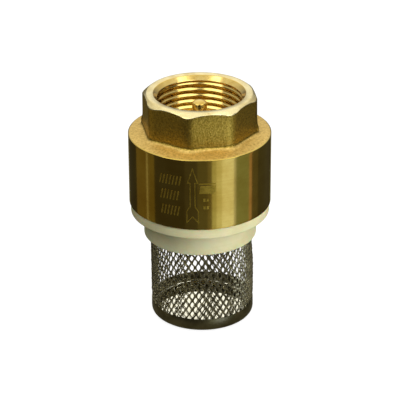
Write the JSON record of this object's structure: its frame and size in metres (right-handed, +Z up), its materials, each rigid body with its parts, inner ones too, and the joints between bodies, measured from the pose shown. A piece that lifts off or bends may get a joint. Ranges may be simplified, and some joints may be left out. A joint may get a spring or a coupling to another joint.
{
  "type": "foot valve",
  "caption": "Foot valve: octagon-ended brass check valve body over a nylon seat adaptor and a stainless strainer basket, with a spring-loaded poppet inside.",
  "frame": {"origin": "centre of the strainer cup's underside, where the valve stands", "axes": "+Z up the valve, which is the way the water flows; two flats of the octagon face -Y and +Y"},
  "size_m": [0.0406, 0.0406, 0.0687],
  "materials": {
    "brass_body": "blasted casting with a turned barrel and rim",
    "turned_brass": "fine turned",
    "nylon": "moulded natural nylon, satin",
    "nitrile": "matte moulded nitrile",
    "spring_steel": "drawn stainless",
    "strainer_steel": "expanded and drawn stainless sheet, darkened"
  },
  "bodies": {
    "body": {"valve_body": "brass_body", "seat_adaptor": "nylon", "body_o_ring": "nitrile", "return_spring": "spring_steel", "strainer_screen": "strainer_steel", "strainer_hoop": "strainer_steel", "strainer_cup": "strainer_steel"},
    "poppet": {"valve_stem": "turned_brass", "backing_plate": "turned_brass", "seal_disc": "nitrile", "clamp_plate": "turned_brass", "lock_washer": "spring_steel", "lock_nut": "turned_brass"}
  },
  "joints": [
    {"name": "poppet_lift", "type": "slide", "parent": "body", "child": "poppet", "axis": [0, 0, 1], "range_m": [0, 0.0065], "stiffness_N_per_m": 220, "springref_m": -0.005, "deforming": ["return_spring"]}
  ]
}
